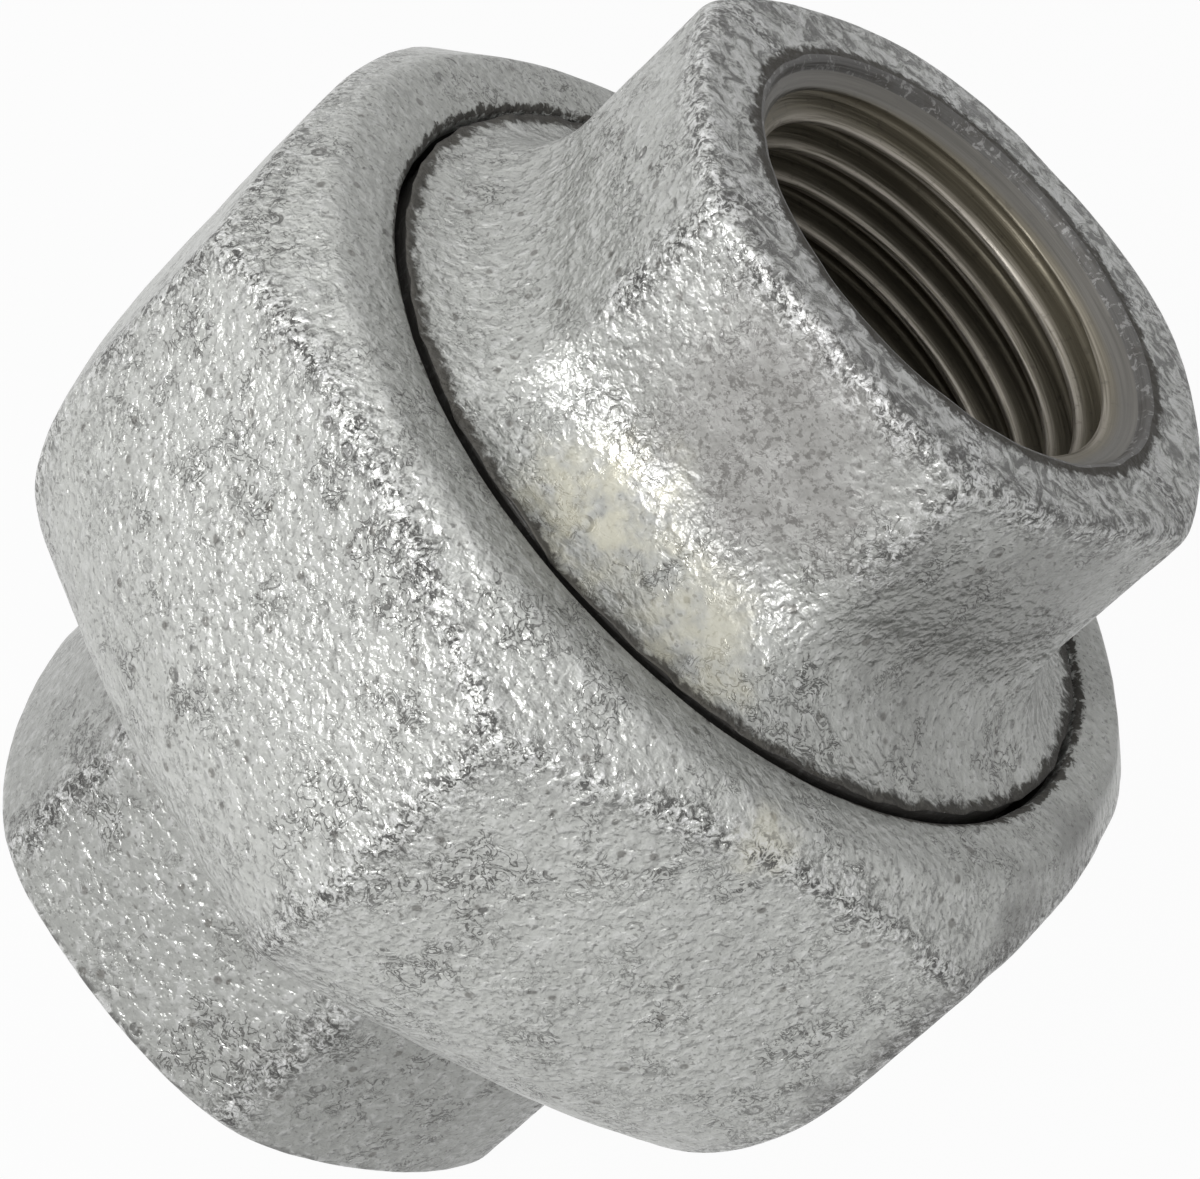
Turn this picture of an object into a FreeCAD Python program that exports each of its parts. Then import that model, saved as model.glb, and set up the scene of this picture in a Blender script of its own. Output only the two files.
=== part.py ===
import FreeCAD, Part

# Female pipe coupling of the union kind: two cast hexagon ends with internal pipe threads,
# drawn together on a flat ring by a hexagon nut that turns on the lower end.
# Millimetres, +Z along the pipe, standing on the lower end, origin at the middle of its face.

import math
import os

# Overall
total_length = 48.6
tail_across_flats = 28.7
head_across_flats = 27.9
end_face_curve = 34.0
end_corner_round = 2.2
end_face_across = 27.0
end_dome_radius = 2.2
tail_spin_deg = 52.0
head_spin_deg = 57.0

# Half inch pipe thread, cut in both ends and drawn at its crest diameter
pipe_thread_bore = 18.631
pipe_thread_depth = 15.0
mouth_diameter = 21.2
mouth_depth = 1.4
waterway_diameter = 17.0
thread_runout = 1.2

# Union thread between the nut and the upper end, drawn as plain bearing cylinders
union_shank_diameter = 36.2
union_thread_play = 0.3
collar_diameter = 37.5
collar_play = 0.4
collar_height = 3.0
shank_chamfer = 1.0

# Stack of pieces on the lower end, from the foot upwards
nut_foot_height = 12.7
lip_thickness = 4.5
flange_thickness = 3.5
ring_thickness = 2.0

# Lower end, its flange counted from the nut's thread bore
flange_play = 1.2
flange_chamfer = 0.6
neck_diameter = 30.2
neck_blend_height = 2.0
neck_height = 12.6

# Sealing ring, its edges counted from the flange and from the waterway
ring_inset = 0.7
ring_setback = 1.2

# Upper end
skirt_rim_height = 35.0
skirt_blend_height = 5.0
skirt_cast_diameter = 38.2
skirt_round_ratio = 0.95

# Nut, its wall counted from the mouth round the collar
nut_wall = 4.15
nut_face_curve = 62.0
nut_corner_round = 2.0
nut_height = 22.4
nut_spin_deg = 32.0
nut_front_bevel = 1.3
nut_front_slope_deg = 45.0
nut_mouth_round = 1.5
nut_back_rim = 1.4
nut_back_shoulder = 11.0
lip_play = 0.5
undercut_height = 1.6
undercut_depth = 0.5

# Diameters worked out from what runs inside or outside each piece
union_bore_diameter = union_shank_diameter + 2 * union_thread_play
flange_diameter = union_bore_diameter - 2 * flange_play
ring_outer_diameter = flange_diameter - 2 * ring_inset
ring_inner_diameter = waterway_diameter + 2 * ring_setback
nut_mouth_diameter = collar_diameter + 2 * collar_play
nut_across_flats = nut_mouth_diameter + 2 * nut_wall
nut_front_flat_diameter = nut_across_flats - 2 * nut_front_bevel
nut_hole_diameter = neck_diameter + 2 * lip_play
nut_back_flat_diameter = nut_hole_diameter + 2 * nut_back_rim

# Levels worked out from the stack
lip_top = nut_foot_height + lip_thickness
flange_top = lip_top + flange_thickness
ring_top = flange_top + ring_thickness
nut_top = nut_foot_height + nut_height
shoulder_top = nut_foot_height + nut_back_shoulder
collar_base = skirt_rim_height - collar_height

AXIS = FreeCAD.Vector(0, 0, 1)
FOOT = FreeCAD.Vector(0, 0, 0)
SIDES = 6
SECTIONS = 6
EIGHTH_TURN = math.pi / 4
QUARTER_TURN = math.pi / 2


def at(radius, height):
    """Point of a turned profile, in the XZ plane."""
    return FreeCAD.Vector(radius, 0, height)


def polar(radius, angle, height):
    """Point at a radius and angle about the axis."""
    return FreeCAD.Vector(radius * math.cos(angle), radius * math.sin(angle), height)


def turned(points):
    """Solid of revolution from a closed outline of radius and height pairs."""
    outline = [at(radius, height) for radius, height in points]
    face = Part.Face(Part.makePolygon(outline + [outline[0]]))
    return face.revolve(FOOT, AXIS, 360)


def cast_hexagon(apothem, face_curve, corner_round, height, spin_deg):
    """Closed wire of a hexagon with barrelled faces and rounded corners, one corner at the spin angle."""
    half_step = math.pi / SIDES
    face_offset = face_curve - apothem
    reach = math.sqrt((face_curve - corner_round) ** 2 - (face_offset * math.sin(half_step)) ** 2)
    corner_offset = reach - face_offset * math.cos(half_step)
    edges = []
    for side in range(SIDES):
        corner_angle = math.radians(spin_deg) + side * 2 * half_step
        corner = polar(corner_offset, corner_angle, height)
        ends = []
        for face_angle in (corner_angle - half_step, corner_angle + half_step):
            face_centre = polar(-face_offset, face_angle, height)
            outward = (corner - face_centre).normalize()
            ends.append(face_centre + outward * face_curve)
        tip = polar(corner_offset + corner_round, corner_angle, height)
        edges.append((ends[0], tip, ends[1]))
    joined = []
    for side in range(SIDES):
        face_angle = math.radians(spin_deg) + (2 * side + 1) * half_step
        following = edges[(side + 1) % SIDES]
        joined.append(Part.Arc(*edges[side]).toShape())
        joined.append(Part.Arc(edges[side][2], polar(apothem, face_angle, height), following[0]).toShape())
    return Part.Wire(joined)


def hexagon_bar(across_flats, face_curve, corner_round, low, high, spin_deg):
    """Straight bar of cast hexagon section between two heights."""
    wire = cast_hexagon(across_flats / 2, face_curve, corner_round, low, spin_deg)
    return Part.Face(wire).extrude(FreeCAD.Vector(0, 0, high - low))


def flared_skirt(start, finish, round_radius):
    """Casting that sweeps out from the upper end's hexagon to a round, along a hollow quarter curve."""
    narrow = head_across_flats / 2
    face_offset = end_face_curve - narrow
    wires = []
    for section in range(SECTIONS + 1):
        angle = QUARTER_TURN * section / SECTIONS
        growth = 1 - math.cos(angle)
        apothem = narrow + (round_radius - narrow) * growth
        corner = end_corner_round + (round_radius / 2 - end_corner_round) * growth
        height = start + (finish - start) * math.sin(angle)
        face_curve = apothem + face_offset * (1 - skirt_round_ratio * growth)
        wires.append(cast_hexagon(apothem, face_curve, corner, height, head_spin_deg))
    return Part.makeLoft(wires, True, False)


def end_bar(across_flats, spin_deg, foot, direction, length):
    """Hexagon of a pipe end, with its outer face turned to a soft dome edge."""
    low, high = sorted((foot, foot + direction * length))
    bar = hexagon_bar(across_flats, end_face_curve, end_corner_round, low, high, spin_deg)
    face_radius = end_face_across / 2
    reach = across_flats
    far = foot + direction * reach
    bend = at(face_radius, foot + direction * end_dome_radius)
    rise = end_dome_radius * math.cos(EIGHTH_TURN)
    middle = bend + at(end_dome_radius * math.sin(EIGHTH_TURN), -direction * rise)
    side = bend + at(end_dome_radius, 0)
    top_edge = Part.makeLine(at(0, foot), at(face_radius, foot))
    dome = Part.Arc(at(face_radius, foot), middle, side).toShape()
    slope = Part.makeLine(side, at(reach, far))
    closing = Part.makePolygon([at(reach, far), at(0, far), at(0, foot)])
    profile = Part.Wire([top_edge, dome, slope] + closing.Edges)
    envelope = Part.Face(profile).revolve(FOOT, AXIS, 360)
    return bar.common(envelope)


def pipe_bore(foot, direction, far):
    """Threaded bore, its countersunk mouth and the waterway behind it."""
    thread_radius = pipe_thread_bore / 2
    water_radius = waterway_diameter / 2
    thread_end = foot + direction * pipe_thread_depth
    beyond = foot - direction * mouth_depth
    return turned([
        (0, beyond),
        (mouth_diameter - thread_radius, beyond),
        (thread_radius, foot + direction * mouth_depth),
        (thread_radius, thread_end),
        (water_radius, thread_end + direction * thread_runout),
        (water_radius, far + direction * mouth_depth),
        (0, far + direction * mouth_depth),
    ])


def tail_piece():
    """Lower end: hexagon, round neck and the flange that the nut draws up."""
    neck_radius = neck_diameter / 2
    flange_radius = flange_diameter / 2
    blend_start = neck_height - neck_blend_height
    hexagon = end_bar(tail_across_flats, tail_spin_deg, 0, 1, neck_height)
    stem = turned([
        (0, blend_start),
        (tail_across_flats / 2, blend_start),
        (neck_radius, neck_height),
        (neck_radius, lip_top),
        (flange_radius, lip_top),
        (flange_radius, flange_top - flange_chamfer),
        (flange_radius - flange_chamfer, flange_top),
        (0, flange_top),
    ])
    body = hexagon.fuse(stem)
    return body.cut(pipe_bore(0, 1, flange_top)).removeSplitter()


def head_piece():
    """Upper end: hexagon, flared skirt, turned collar and the shank that screws into the nut."""
    collar_radius = collar_diameter / 2
    shank_radius = union_shank_diameter / 2
    blend_start = skirt_rim_height + skirt_blend_height
    bar_length = total_length - blend_start
    hexagon = end_bar(head_across_flats, head_spin_deg, total_length, -1, bar_length)
    cast_skirt = flared_skirt(blend_start, skirt_rim_height, skirt_cast_diameter / 2)
    turned_limit = Part.makeCylinder(collar_radius, skirt_blend_height, at(0, skirt_rim_height))
    shank = turned([
        (0, ring_top),
        (shank_radius - shank_chamfer, ring_top),
        (shank_radius, ring_top + shank_chamfer),
        (shank_radius, collar_base),
        (collar_radius, collar_base),
        (collar_radius, skirt_rim_height),
        (0, skirt_rim_height),
    ])
    body = hexagon.fuse([cast_skirt.common(turned_limit), shank])
    return body.cut(pipe_bore(total_length, -1, ring_top)).removeSplitter()


def nut_front():
    """Front of the nut: hexagon bar with its corners sloped off by a cone."""
    slope = math.tan(math.radians(nut_front_slope_deg))
    front = nut_front_flat_diameter / 2
    reach = nut_across_flats / math.sqrt(3)
    section = (nut_across_flats, nut_face_curve, nut_corner_round)
    bar = hexagon_bar(*section, shoulder_top, nut_top, nut_spin_deg)
    cone = turned([
        (0, shoulder_top),
        (reach, shoulder_top),
        (reach, nut_top - (reach - front) * slope),
        (front, nut_top),
        (0, nut_top),
    ])
    return bar.common(cone)


def nut_back():
    """Back of the nut: its hexagon drawn in to the lip along a full quarter curve."""
    wide = nut_across_flats / 2
    narrow = nut_back_flat_diameter / 2
    face_offset = nut_face_curve - wide
    wires = []
    for section in range(SECTIONS + 1):
        angle = QUARTER_TURN * section / SECTIONS
        apothem = narrow + (wide - narrow) * math.cos(angle)
        height = shoulder_top - nut_back_shoulder * math.sin(angle)
        wires.append(cast_hexagon(apothem, apothem + face_offset, nut_corner_round, height, nut_spin_deg))
    return Part.makeLoft(wires, True, False)


def nut_cavity():
    """Hollow of the nut: rolled mouth, collar recess, thread bore, undercut and lip hole."""
    mouth_radius = nut_mouth_diameter / 2
    bore_radius = union_bore_diameter / 2
    hole_radius = nut_hole_diameter / 2
    recess_base = collar_base - collar_play
    top = nut_top
    above = top + nut_mouth_round
    below = nut_foot_height - nut_mouth_round
    rounding = nut_mouth_round * (1 - math.cos(EIGHTH_TURN))
    mouth = Part.Arc(
        at(mouth_radius, top - nut_mouth_round),
        at(mouth_radius + rounding, top - rounding),
        at(mouth_radius + nut_mouth_round, top),
    ).toShape()
    walls = Part.makePolygon([
        at(mouth_radius + nut_mouth_round, top),
        at(mouth_radius + nut_mouth_round, above),
        at(0, above),
        at(0, below),
        at(hole_radius, below),
        at(hole_radius, lip_top),
        at(bore_radius + undercut_depth, lip_top),
        at(bore_radius + undercut_depth, lip_top + undercut_height),
        at(bore_radius, lip_top + undercut_height + undercut_depth),
        at(bore_radius, recess_base),
        at(mouth_radius, recess_base),
        at(mouth_radius, top - nut_mouth_round),
    ])
    return Part.Face(Part.Wire([mouth] + walls.Edges)).revolve(FOOT, AXIS, 360)


def union_nut():
    """Hexagon nut that turns on the lower end's flange and screws on the upper end's shank."""
    return nut_front().fuse(nut_back()).cut(nut_cavity()).removeSplitter()


def sealing_ring():
    """Flat ring pinched between the two ends."""
    ring = Part.makeCylinder(ring_outer_diameter / 2, ring_thickness, at(0, flange_top))
    hole = Part.makeCylinder(ring_inner_diameter / 2, ring_thickness, at(0, flange_top))
    return ring.cut(hole)


def main():
    os.makedirs("parts", exist_ok=True)
    pieces = {
        "tail_piece": tail_piece(),
        "head_piece": head_piece(),
        "union_nut": union_nut(),
        "sealing_ring": sealing_ring(),
    }
    for name, shape in pieces.items():
        shape.exportStep("parts/" + name + ".step")
        print(name, "solids", len(shape.Solids), "valid", shape.isValid(), "volume", round(shape.Volume, 1))


main()
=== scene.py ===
import itertools
import math

import bpy
import numpy as np
from mathutils import Matrix, Vector


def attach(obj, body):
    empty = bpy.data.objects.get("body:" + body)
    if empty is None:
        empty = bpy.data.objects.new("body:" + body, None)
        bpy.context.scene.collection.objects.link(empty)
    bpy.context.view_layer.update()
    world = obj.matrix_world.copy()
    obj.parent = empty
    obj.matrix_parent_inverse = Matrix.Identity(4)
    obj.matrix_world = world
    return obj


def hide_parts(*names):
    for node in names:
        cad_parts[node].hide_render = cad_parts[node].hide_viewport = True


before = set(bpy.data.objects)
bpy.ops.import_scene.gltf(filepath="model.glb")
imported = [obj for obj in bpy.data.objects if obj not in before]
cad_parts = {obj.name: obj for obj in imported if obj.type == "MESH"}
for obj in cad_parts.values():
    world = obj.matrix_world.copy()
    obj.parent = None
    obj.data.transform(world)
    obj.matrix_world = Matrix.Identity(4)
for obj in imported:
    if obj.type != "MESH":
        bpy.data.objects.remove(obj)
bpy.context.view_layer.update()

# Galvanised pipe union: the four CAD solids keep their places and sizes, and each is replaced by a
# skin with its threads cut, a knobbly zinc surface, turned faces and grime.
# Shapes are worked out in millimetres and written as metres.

MM = 0.001
TAU = 2 * math.pi
HALF_SIDE = math.pi / 6

# Camera: direction of the pipe's axis in the picture, and the place of the upper face's middle
AXIS_TURN = math.radians(42.91)
AXIS_LEAN = math.radians(29.64)
FACE_FROM_CAMERA = Vector((15.11, -13.89, 217.64))
LENS = 156.0
SENSOR = 36.0

# Both ends: barrelled hexagon with a domed face
TOTAL = 48.6
END_CURVE = 34.0
END_ROUND = 2.2
END_FACE = 13.5
END_DOME = 2.2
FACE_RING = 12.0
FACE_FALL = 0.05
DOME_SHARES = (0.34, 0.67, 1.0)

# Both ends: bore, from the ragged mouth inwards
MOUTH = 10.62
MOUTH_DEPTH = 0.55
MOUTH_SLOPE = 1.5
MOUTH_LIP = ((10.68, 0.42), (10.72, 0.20))
MOUTH_EDGE = ((10.84, 0.06), (11.02, 0.0))
MOUTH_MIDDLE = 10.8
THREAD_DEPTH = 15.2
THREAD_FADE = 2.2
BORE_CONE = 1.0
WATERWAY = 8.5
CHAMFER = 0.3
SEAT_RING = 14.0

# Upper end
HEAD_FLAT = 14.05
HEAD_SPIN = math.radians(57.0)
HEAD_BORE_MIDDLE = 27.0
RIM = 35.0
BLEND = 5.0
BLEND_STEPS = 24
SKIRT = 19.1
SKIRT_OVERHANG = 0.14
SKIRT_ROUNDNESS = 0.95
COLLAR = 18.75
COLLAR_RINGS = (33.8, 32.8)
COLLAR_BASE = 32.0
COLLAR_EDGE = 0.2
UNDERCUT = 17.6
UNDERCUT_TOP = COLLAR_BASE - 0.4
SHANK_FOOT = 22.7
SHANK_EDGE = 17.1
SHANK_SEAT_RING = 10.6

# Lower end
TAIL_FLAT = 14.45
TAIL_DOME = 1.6
TAIL_SPIN = math.radians(52.0)
TAIL_BORE_MIDDLE = 18.4
CONE_FOOT = 9.6
CONE_RADIUS = 13.9
CONE_POWER = 1.6
CONE_STEPS = 8
NECK = 15.1
NECK_TOP = 12.6
NECK_RINGS = (12.95, 14.8)
NECK_EDGE = 0.25
LIP_TOP = 17.2
FLANGE = 17.2
FLANGE_TOP = 20.7
FLANGE_EDGE = 0.2
FLANGE_CHAMFER = 0.6
FLANGE_SEAT_RING = 11.0

# Union nut. Its casting sits a little off its bore
NUT_FLAT = 23.38
NUT_CURVE = 68.0
NUT_ROUND = 1.3
NUT_SPIN = math.radians(34.0)
NUT_CASTING_OFF = (-0.31, -0.51)
NUT_FOOT = 12.7
NUT_TOP = 35.1
NUT_FRONT = 22.0
NUT_FRONT_RING = 21.3
NUT_MOUTH_EDGE = 20.4
NUT_BACK = 17.0
NUT_SHOULDER = 11.0
NUT_BACK_STEPS = 16
NUT_FOOT_EDGE = 16.2
NUT_HOLE = 15.6
NUT_HOLE_MIDDLE = 15.0
NUT_CAVITY = 18.9
NUT_CAVITY_EDGE = 18.4
NUT_MOUTH = 19.14
NUT_THREAD_LOW = 18.8
NUT_THREAD_HIGH = 31.5

# Sealing ring, with a hair's breadth between it and both seats
RING_INNER = 9.7
RING_OUTER = 16.5
RING_EDGE = 0.25
RING_BULGE = 0.02
RING_FACE_RINGS = (12.0, 14.2)
RING_PLAY = 0.004

# Threads: half inch pipe thread in both ends, inch and an eighth union thread in the middle
PIPE_PITCH = 1.814
PIPE_CREST = 9.3155
PIPE_ROOT = 10.47
UNION_PITCH = 2.309
UNION_CREST = 18.62
UNION_ROOT = 17.55
UNION_PLAY = 0.14

# Rounded thread form: shares of crest and flank, and how much of the flank is straight
CREST_SHARE = 0.10
FLANK_SHARE = 0.76
STRAIGHT_SHARE = 0.45

# Grid of each piece: columns round the axis, and rows along the cast outline
HEAD_GRID = (360, 96)
TAIL_GRID = (336, 72)
NUT_GRID = (480, 112)
RING_COLUMNS = 160
WELD = 0.0005

# Unevenness as wavelength, height and seed: the dipped surface, and the ragged edges
FLOW = ((8.0, 0.10, 11), (2.6, 0.035, 23), (1.1, 0.016, 37))
MOUTH_RAG = ((1.3, 0.09, 71),)
RIM_RAG = ((1.0, 0.14, 83), (2.7, 0.14, 84))
RIM_WOBBLE = ((0.8, 0.08, 85),)
RIM_ROWS = 12
NUT_RAG = ((2.0, 0.05, 91),)
NUT_RAG_RADIUS = 19.5
WEAR_WIDTH = 1.05

# Hash of the lattice noise
HASH_FACTORS = (374761393, 668265263, 1442695041, 974634777)
HASH_MIX = 1274126177
LOW_32_BITS = 0xFFFFFFFF
LOW_24_BITS = 0xFFFFFF
NOISE_START = 1000.0

# Material slots of a cast piece
CAST, TURNED, THREAD = 0, 1, 2

# Studio, in metres
LAMP_DISTANCE = 0.80
LAMP_TARGET = Vector((0, 0, TOTAL / 2 * MM))
WORLD_FILL = 0.16
FLOOR_REACH = 1.6
FLOOR_DROP = 0.00002
FLOOR_GREY = 0.86
FLOOR_GLOW_SHARE = 0.96
WHITE = (1, 1, 1, 1)


# Numbers: seeded lattice noise and sections

def lattice(ix, iy, iz, seed):
    """Repeatable number from 0 to 1 for a place in whole numbers."""
    h = sum(factor * value for factor, value in zip(HASH_FACTORS, (ix, iy, iz, seed))) & LOW_32_BITS
    h = ((h ^ (h >> 13)) * HASH_MIX) & LOW_32_BITS
    return ((h ^ (h >> 16)) & LOW_24_BITS) / float(LOW_24_BITS)


def noise(points, wavelength, seed):
    """Smooth noise from -1 to 1 at points in millimetres."""
    q = points / wavelength + NOISE_START
    cell = np.floor(q).astype(np.int64)
    f = q - cell
    f = f * f * f * (f * (f * 6 - 15) + 10)
    total = 0
    for corner in itertools.product((0, 1), repeat=3):
        weight = np.prod(np.where(corner, f, 1 - f), axis=-1)
        total = total + weight * lattice(*np.moveaxis(cell + corner, -1, 0), seed)
    return total * 2 - 1


def circle(angle, radius, height=0.0):
    """Points on a circle round the pipe's axis."""
    return np.stack([radius * np.cos(angle), radius * np.sin(angle), 0 * angle + height], axis=1)


def off_side(angle, spin):
    """Angle from a direction to the middle of the nearest side of a hexagon."""
    return np.abs((angle - spin) % (2 * HALF_SIDE) - HALF_SIDE)


def off_ridge(angle, spin):
    """Angle from a direction to the nearest corner of a hexagon."""
    return HALF_SIDE - off_side(angle, spin)


def cast_radius(angle, flat, curve, corner, spin):
    """Radius of a barrelled hexagon in a direction.

    flat reaches the middle of a side. curve and corner are the radii of a side and of a corner.
    """
    offset = curve - flat
    centre = np.sqrt((curve - corner) ** 2 - (offset * math.sin(HALF_SIDE)) ** 2)
    centre = centre - offset * math.cos(HALF_SIDE)
    kx = centre * math.cos(HALF_SIDE) + offset
    ky = centre * math.sin(HALF_SIDE)
    span = np.sqrt(kx * kx + ky * ky)
    tangent = np.arctan2(ky / span * curve, kx / span * curve - offset)
    off_face = off_side(angle, spin)
    on_face = -offset * np.cos(off_face) + np.sqrt(curve ** 2 - (offset * np.sin(off_face)) ** 2)
    off_corner = off_ridge(angle, spin)
    reach = np.sqrt(np.maximum(corner ** 2 - (centre * np.sin(off_corner)) ** 2, 0))
    on_corner = centre * np.cos(off_corner) + reach
    return np.where(off_face < tangent, on_face, on_corner)


def profile(pairs, columns):
    """Columns of radius and height from pairs, each value one number or one per column."""
    radius = np.stack([np.broadcast_to(r, columns) for r, z in pairs], axis=1)
    height = np.stack([np.broadcast_to(z, columns) for r, z in pairs], axis=1)
    return np.stack([radius, height], axis=2)


def even_steps(outline, count):
    """Columns of radius and height resampled to equal steps along each column."""
    steps = np.hypot(np.diff(outline[..., 0], axis=1), np.diff(outline[..., 1], axis=1))
    along = np.concatenate([np.zeros((len(outline), 1)), np.cumsum(steps, axis=1)], axis=1)
    even = np.empty((len(outline), count, 2))
    for i in range(len(outline)):
        want = np.linspace(0, along[i, -1], count)
        even[i, :, 0] = np.interp(want, along[i], outline[i, :, 0])
        even[i, :, 1] = np.interp(want, along[i], outline[i, :, 1])
    return even


def soften(outline, passes):
    """Rounds the edges of columns, with both ends held."""
    out = outline.copy()
    for _ in range(passes):
        out[:, 1:-1] = 0.25 * out[:, :-2] + 0.5 * out[:, 1:-1] + 0.25 * out[:, 2:]
    return out


def row_shares(rows, rise, fall, start=0, least_first=0.0, least_last=0.3):
    """Share of lumps in each row: it rises after the start row and falls towards the last row."""
    row = np.arange(rows)
    up = np.clip((row - start) / rise, least_first, 1)
    down = np.clip((rows + 2 - row) / fall, least_last, 1)
    return (up * down)[None]


def uneven(points, waves):
    """Height in millimetres of noise made of waves, each a wavelength, height and seed."""
    return sum(noise(points, wavelength, seed) * height for wavelength, height, seed in waves)


def worn_and_highlit(distance):
    """Share of wear and painted highlight at a distance in millimetres from an edge."""
    return np.exp(-(distance / WEAR_WIDTH) ** 2)


def whitworth(phase):
    """Rounded thread form, 0 at the crest and 1 at the root."""
    ramp = np.clip((1 - np.abs(2 * phase - 1) - CREST_SHARE) / FLANK_SHARE, 0, 1)
    rounded = 0.5 - 0.5 * np.cos(math.pi * ramp)
    return STRAIGHT_SHARE * ramp + (1 - STRAIGHT_SHARE) * rounded


class Skin:
    """Closed surface gathered from zones that meet in shared rings round the pipe's axis."""

    def __init__(self, columns):
        self.columns = columns
        self.angle = np.arange(columns) * TAU / columns
        self.points = []
        self.faces = []
        self.slots = []
        self.rough = []
        self.edge = []
        self.count = 0

    def zone(self, outline, slot, rough=0.0, edge=0.0, shift=0):
        """Grid of columns. rough is its share of lumps and edge its share of wear and painted highlight.

        The last column meets the first one shift rows further on.
        """
        radius, height = outline[..., 0], outline[..., 1]
        rows = radius.shape[1]
        angle = self.angle[:, None]
        xyz = np.stack([radius * np.cos(angle), radius * np.sin(angle), height], axis=2)
        index = np.arange(self.columns * rows).reshape(self.columns, rows) + self.count
        first = index[0][np.minimum(np.arange(rows) + shift, rows - 1)]
        following = np.concatenate([index[1:], first[None]])
        corners = [index[:, :-1], following[:, :-1], following[:, 1:], index[:, 1:]]
        quads = np.stack(corners, axis=2).reshape(-1, 4)
        self.points.append(xyz.reshape(-1, 3))
        self.faces.append(quads)
        self.slots.append(np.full(len(quads), slot))
        self.rough.append(np.broadcast_to(rough, radius.shape).reshape(-1))
        self.edge.append(np.broadcast_to(edge, radius.shape).reshape(-1))
        self.count += self.columns * rows

    def rings(self, pairs, slot, rough=0.0):
        """Turned zone through pairs of radius and height."""
        self.zone(profile(pairs, self.columns), slot, rough)

    def helix(self, low, high, pitch, per_turn, radius_at, slot):
        """Threaded zone whose grid follows a right-hand helix. radius_at gives radius and crest share."""
        step = pitch / per_turn
        rows = int(math.ceil((high - low + pitch) / step)) + 2
        share = self.angle[:, None] / TAU
        height = np.clip(low - pitch + np.arange(rows)[None] * step + pitch * share, low, high)
        radius, crest = radius_at((height / pitch - share) % 1.0, height)
        self.zone(np.stack([radius, height], axis=2), slot, 0.0, crest, per_turn)

    def weld(self):
        """Points, faces, slots, lump shares and shares of wear and painted highlight, with points that
        meet joined into one.
        """
        points = np.concatenate(self.points)
        key = np.round(points / WELD).astype(np.int64)
        _, keep, back = np.unique(key, axis=0, return_index=True, return_inverse=True)
        back = back.reshape(-1)
        wear_and_highlight = np.zeros(len(keep))
        np.maximum.at(wear_and_highlight, back, np.concatenate(self.edge))
        rough = np.full(len(keep), np.inf)
        np.minimum.at(rough, back, np.concatenate(self.rough))
        return points[keep], back[np.concatenate(self.faces)], np.concatenate(self.slots), rough, wear_and_highlight

    def build(self, name, flip=False):
        """Mesh object of the skin, with its lumps pushed out along the normals.

        flip turns the faces over, for a skin whose rows go up the bore and down the outside.
        """
        points, faces, slots, rough, wear_and_highlight = self.weld()
        if flip:
            faces = faces[:, ::-1]
        same = faces == np.roll(faces, 1, axis=1)
        whole = ~same.any(axis=1)
        polys = faces[whole].tolist()
        poly_slots = slots[whole].tolist()
        squeezed = zip(faces[~whole].tolist(), slots[~whole].tolist(), same[~whole].tolist())
        for quad, slot, doubled in squeezed:
            corners = [v for v, double in zip(quad, doubled) if not double]
            if len(corners) == len(set(corners)) == 3:
                polys.append(corners)
                poly_slots.append(slot)
        mesh = bpy.data.meshes.new(name)
        mesh.from_pydata((points * MM).tolist(), [], polys)
        mesh.polygons.foreach_set("material_index", poly_slots)
        mesh.polygons.foreach_set("use_smooth", [True] * len(polys))
        mesh.update()
        normals = np.empty(len(points) * 3)
        mesh.vertex_normals.foreach_get("vector", normals)
        moved = points + normals.reshape(-1, 3) * (uneven(points, FLOW) * rough)[:, None]
        mesh.vertices.foreach_set("co", (moved * MM).reshape(-1))
        mesh.attributes.new("crest", "FLOAT", "POINT").data.foreach_set("value", wear_and_highlight)
        mesh.update()
        piece = bpy.data.objects.new(name, mesh)
        bpy.context.scene.collection.objects.link(piece)
        return piece


# Pieces

def pipe_thread(foot, direction):
    """Radius function of the inside pipe thread, counted from the end face inwards."""
    def radius_at(phase, height):
        depth = (height - foot) * direction
        form = whitworth(phase)
        cut = form * np.clip((THREAD_DEPTH - depth) / THREAD_FADE, 0, 1)
        thread = PIPE_CREST + (PIPE_ROOT - PIPE_CREST) * cut
        mouth = MOUTH - (depth - MOUTH_DEPTH) * MOUTH_SLOPE
        crest = np.clip(1 - form * 3.4, 0, 1) * np.clip((depth - 1.1) / 0.4, 0, 1)
        return np.maximum(thread, mouth), crest
    return radius_at


def end_mouth(skin, foot, direction):
    """Turned lip of the bore, from the thread out to the ragged edge of the end face."""
    rag = uneven(circle(skin.angle, MOUTH_MIDDLE, foot), MOUTH_RAG)
    rows = [(MOUTH, foot + direction * MOUTH_DEPTH)]
    rows += [(radius, foot + direction * depth) for radius, depth in MOUTH_LIP]
    rows += [(radius + rag, foot + direction * depth) for radius, depth in MOUTH_EDGE]
    return rows


def end_outline(skin, mouth, foot, direction, side, dome):
    """Rows of an end from the bore's mouth over the face and its soft edge to the hexagon."""
    face = END_FACE + END_DOME - dome
    turn = np.arcsin(np.clip((side - face) / dome, 0, 1))
    rows = [mouth[-1], (FACE_RING, foot), (face, foot + direction * FACE_FALL)]
    for share in DOME_SHARES:
        fall = FACE_FALL + dome * (1 - np.cos(turn * share))
        rows.append((face + dome * np.sin(turn * share), foot + direction * fall))
    return rows


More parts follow.
